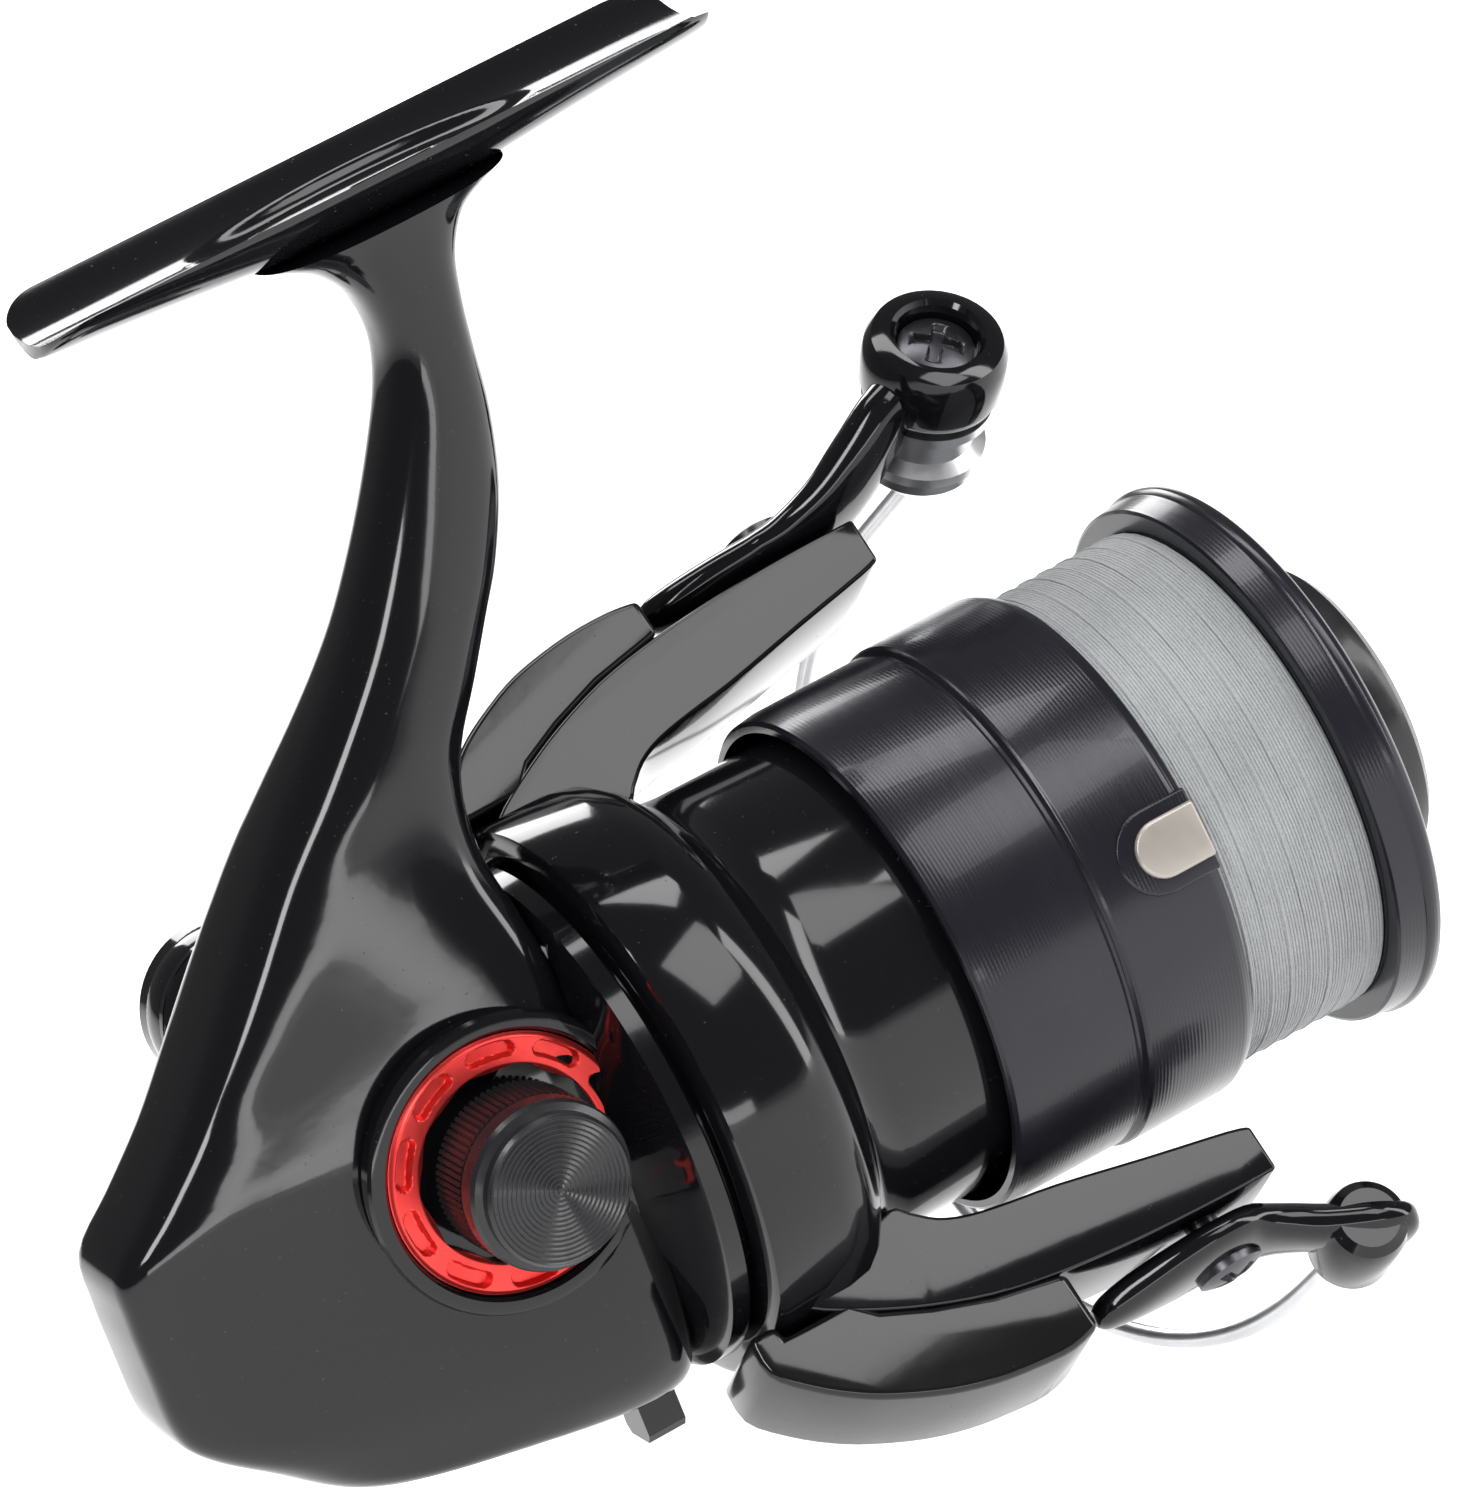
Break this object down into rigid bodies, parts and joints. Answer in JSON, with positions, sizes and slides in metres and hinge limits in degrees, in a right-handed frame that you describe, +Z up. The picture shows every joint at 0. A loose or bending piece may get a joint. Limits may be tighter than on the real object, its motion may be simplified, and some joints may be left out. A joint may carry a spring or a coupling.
{
  "type": "spinning reel",
  "caption": "Fixed-spool fishing reel with foot, gear case, turning rotor with bail, sliding spool, drag knob and side crank.",
  "frame": {"origin": "middle of the foot's seat, where the rod blank rests", "axes": "+X forward along the rod towards its tip, +Y to the handle side, +Z up into the rod"},
  "size_m": [0.1212, 0.1115, 0.1294],
  "materials": {
    "body_black": "smooth gloss black moulding",
    "cover_black": "smooth gloss black moulding",
    "skirt_black": "semi-gloss black metal",
    "ring_red": "red anodised, fine turned",
    "cap_black": "black anodised, turned face",
    "lip_dark": "dark grey anodised, polished",
    "steel": "plain steel",
    "wire_steel": "polished stainless wire",
    "brass": "cut brass",
    "zinc": "die-cast zinc, machined teeth",
    "arm_metal": "black painted cast aluminium",
    "knob_rubber": "matte soft grip",
    "nylon": "natural nylon",
    "felt": "oiled felt",
    "line": "braided line, cross wound",
    "roller_metal": "hard polished ring"
  },
  "bodies": {
    "frame": {"housing": "body_black", "side_cover": "body_black", "cover_screws": "steel", "trim_ring": "ring_red", "drive_bearing_right": "steel", "drive_bearing_left": "steel", "pinion_bearing": "steel", "pinion_bush": "brass", "clutch_housing": "steel", "clutch_cage": "nylon", "clutch_rollers": "steel", "clutch_screws": "steel", "guide_rod": "steel", "oscillation_axle": "steel", "anti_reverse_pin": "steel"},
    "anti_reverse": {"anti_reverse_lever": "body_black"},
    "crank": {"drive_gear": "zinc", "drive_shaft": "steel", "oscillation_driver": "zinc", "handle_shank": "steel", "handle_hub": "arm_metal", "crank_arm": "arm_metal", "hub_dome": "cap_black", "knob_pin": "steel", "handle_cap": "cap_black"},
    "knob": {"handle_knob": "knob_rubber", "knob_bushes": "nylon", "knob_end_cap": "cap_black"},
    "oscillator": {"oscillation_gear": "nylon"},
    "rotor_group": {"rotor": "body_black", "upper_arm_cover": "cover_black", "lower_arm_cover": "cover_black", "arm_cover_screws": "steel", "pivot_screws": "steel", "pinion": "brass", "clutch_sleeve": "steel", "rotor_nut": "brass"},
    "bail": {"bail_lever": "body_black", "roller_screw": "steel", "roller_bush": "nylon", "bail_wire": "wire_steel", "wire_cone": "wire_steel", "counter_lever": "body_black"},
    "roller": {"line_roller": "roller_metal"},
    "shaft_group": {"main_shaft": "steel", "slider": "zinc", "slider_screw": "steel", "spool_seat": "nylon", "shaft_pin": "steel", "metal_washers": "steel"},
    "spool_group": {"spool": "skirt_black", "line_clip": "skirt_black", "spool_lip": "lip_dark", "line_winding": "line", "felt_washers": "felt", "drag_retainer": "steel"},
    "drag": {"drag_knob": "cap_black", "drag_nut": "brass"}
  },
  "joints": [
    {"name": "crank_turn", "type": "hinge", "parent": "frame", "child": "crank", "pos_m": [-0.022, 0, -0.0765], "axis": [0, 1, 0], "continuous": true},
    {"name": "rotor_turn", "type": "hinge", "parent": "frame", "child": "rotor_group", "pos_m": [0, 0, -0.082], "axis": [1, 0, 0], "continuous": true},
    {"name": "oscillator_turn", "type": "hinge", "parent": "frame", "child": "oscillator", "pos_m": [-0.03538, 0, -0.08361], "axis": [0, 1, 0], "continuous": true},
    {"name": "knob_turn", "type": "hinge", "parent": "crank", "child": "knob", "pos_m": [0.01194, 0, -0.11044], "axis": [0, 1, 0], "continuous": true},
    {"name": "bail_swing", "type": "hinge", "parent": "rotor_group", "child": "bail", "pos_m": [0.03, 0, -0.082], "axis": [0, 0.6115, 0.7912], "range_deg": [-105, 0]},
    {"name": "roller_turn", "type": "hinge", "parent": "bail", "child": "roller", "pos_m": [0.0492, 0.01552, -0.04066], "axis": [-0.1556, 0.5523, -0.819], "continuous": true},
    {"name": "shaft_slide", "type": "slide", "parent": "frame", "child": "shaft_group", "axis": [1, 0, 0], "range_m": [-0.007, 0.004]},
    {"name": "spool_turn", "type": "hinge", "parent": "shaft_group", "child": "spool_group", "pos_m": [0, 0, -0.082], "axis": [1, 0, 0], "continuous": true},
    {"name": "drag_turn", "type": "hinge", "parent": "shaft_group", "child": "drag", "pos_m": [0, 0, -0.082], "axis": [1, 0, 0], "range_deg": [-180, 180]},
    {"name": "anti_reverse_turn", "type": "hinge", "parent": "frame", "child": "anti_reverse", "pos_m": [-0.014, 0, -0.1015], "axis": [1, 0, 0], "range_deg": [-12, 12]}
  ],
  "couplings": [
    {"joint": "rotor_turn", "follows": "crank_turn", "ratio": 5.2},
    {"joint": "oscillator_turn", "follows": "crank_turn", "ratio": -0.53846}
  ]
}
